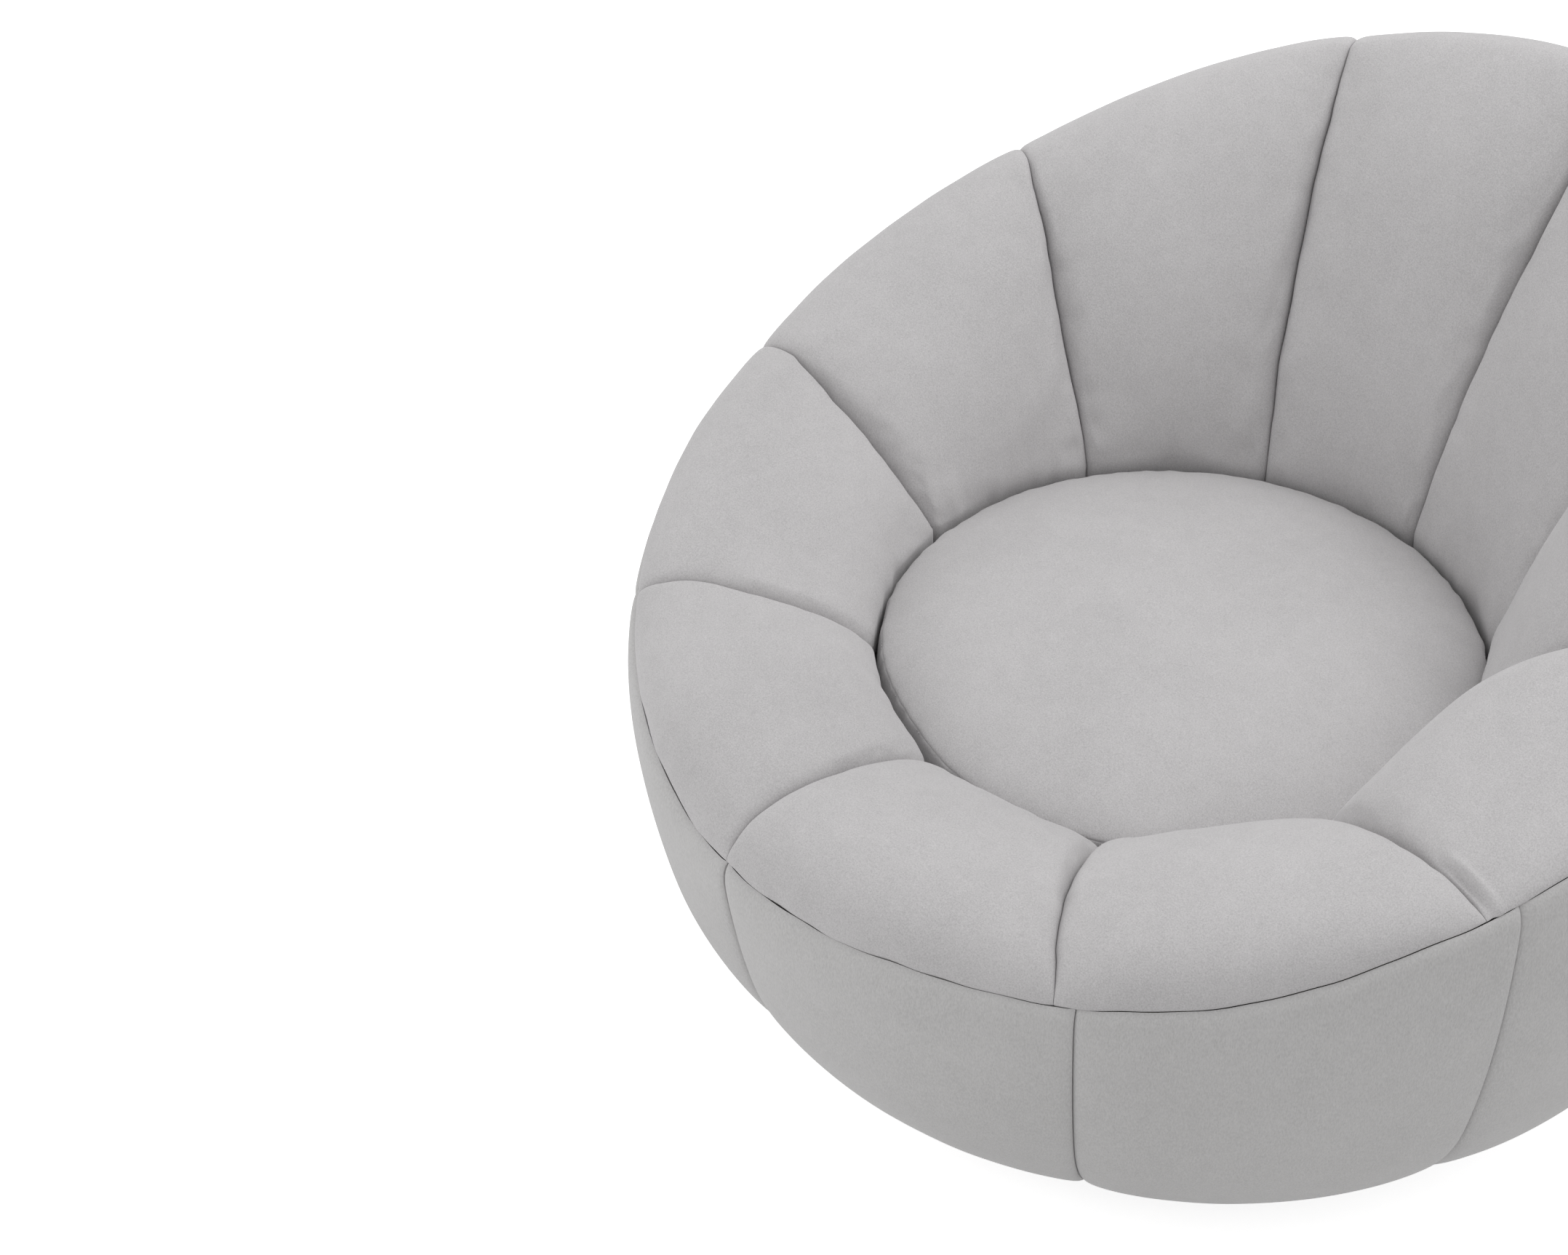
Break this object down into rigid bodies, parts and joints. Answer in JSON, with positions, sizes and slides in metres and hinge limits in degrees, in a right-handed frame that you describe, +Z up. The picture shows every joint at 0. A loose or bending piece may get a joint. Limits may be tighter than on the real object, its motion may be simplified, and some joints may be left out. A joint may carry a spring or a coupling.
{
  "type": "swivel tub chair",
  "caption": "Low round upholstered tub chair with puffy channelled pads, a loose crowned seat cushion and a hidden swivel base.",
  "frame": {"origin": "on the floor on the swivel axis", "axes": "+Z up along the swivel axis, the chair faces -Y, +X is the sitter's left"},
  "size_m": [1.0366, 1.0323, 0.763],
  "materials": {
    "upholstery": "short pile upholstery, matte, pale grey",
    "plywood": "bare birch plywood",
    "beech": "bare beech",
    "webbing": "woven elastic webbing",
    "felt": "needled felt",
    "lining": "non-woven lining",
    "plate_steel": "black satin coat on pressed steel",
    "zinc_steel": "zinc plated",
    "ball_steel": "polished",
    "nylon": "moulded, natural",
    "base_black": "painted black, satin",
    "glide_plastic": "moulded, black"
  },
  "bodies": {
    "base": {"floor_glides": "glide_plastic", "base_disc": "base_black", "base_screws": "zinc_steel", "swivel_lower_plate": "plate_steel", "pivot_bush": "zinc_steel", "pivot_washer": "nylon"},
    "ball_race": {"bearing_balls": "ball_steel", "ball_cage": "nylon"},
    "cushion": {"seat_cushion": "upholstery"},
    "seat": {"left_front_pad": "upholstery", "left_front_corner_pad": "upholstery", "left_arm_pad": "upholstery", "left_rear_corner_pad": "upholstery", "left_back_pad": "upholstery", "right_back_pad": "upholstery", "right_rear_corner_pad": "upholstery", "right_arm_pad": "upholstery", "right_front_corner_pad": "upholstery", "right_front_pad": "upholstery", "left_front_panel": "upholstery", "left_front_corner_panel": "upholstery", "left_arm_panel": "upholstery", "left_rear_corner_panel": "upholstery", "left_back_panel": "upholstery", "right_back_panel": "upholstery", "right_rear_corner_panel": "upholstery", "right_arm_panel": "upholstery", "right_front_corner_panel": "upholstery", "right_front_panel": "upholstery", "front_rib": "plywood", "left_rib_1": "plywood", "left_rib_2": "plywood", "left_rib_3": "plywood", "left_rib_4": "plywood", "back_rib": "plywood", "right_rib_4": "plywood", "right_rib_3": "plywood", "right_rib_2": "plywood", "right_rib_1": "plywood", "top_rail": "plywood", "seat_ring": "plywood", "bottom_board": "plywood", "rail_dowels": "beech", "webbing_long": "webbing", "webbing_cross": "webbing", "deck_pad": "felt", "dust_cover": "lining", "swivel_upper_plate": "plate_steel", "seat_bolts": "zinc_steel", "tee_nuts": "zinc_steel", "rib_screws": "zinc_steel", "ring_screws": "zinc_steel"}
  },
  "joints": [
    {"name": "swivel", "type": "hinge", "parent": "base", "child": "seat", "pos_m": [0, 0, 0.0405], "axis": [0, 0, 1], "continuous": true},
    {"name": "race_spin", "type": "hinge", "parent": "base", "child": "ball_race", "pos_m": [0, 0, 0.0405], "axis": [0, 0, 1], "continuous": true},
    {"name": "cushion_lift", "type": "slide", "parent": "seat", "child": "cushion", "axis": [0, 0, 1], "range_m": [0, 0.52]}
  ],
  "couplings": [
    {"joint": "race_spin", "follows": "swivel", "ratio": 0.5}
  ]
}
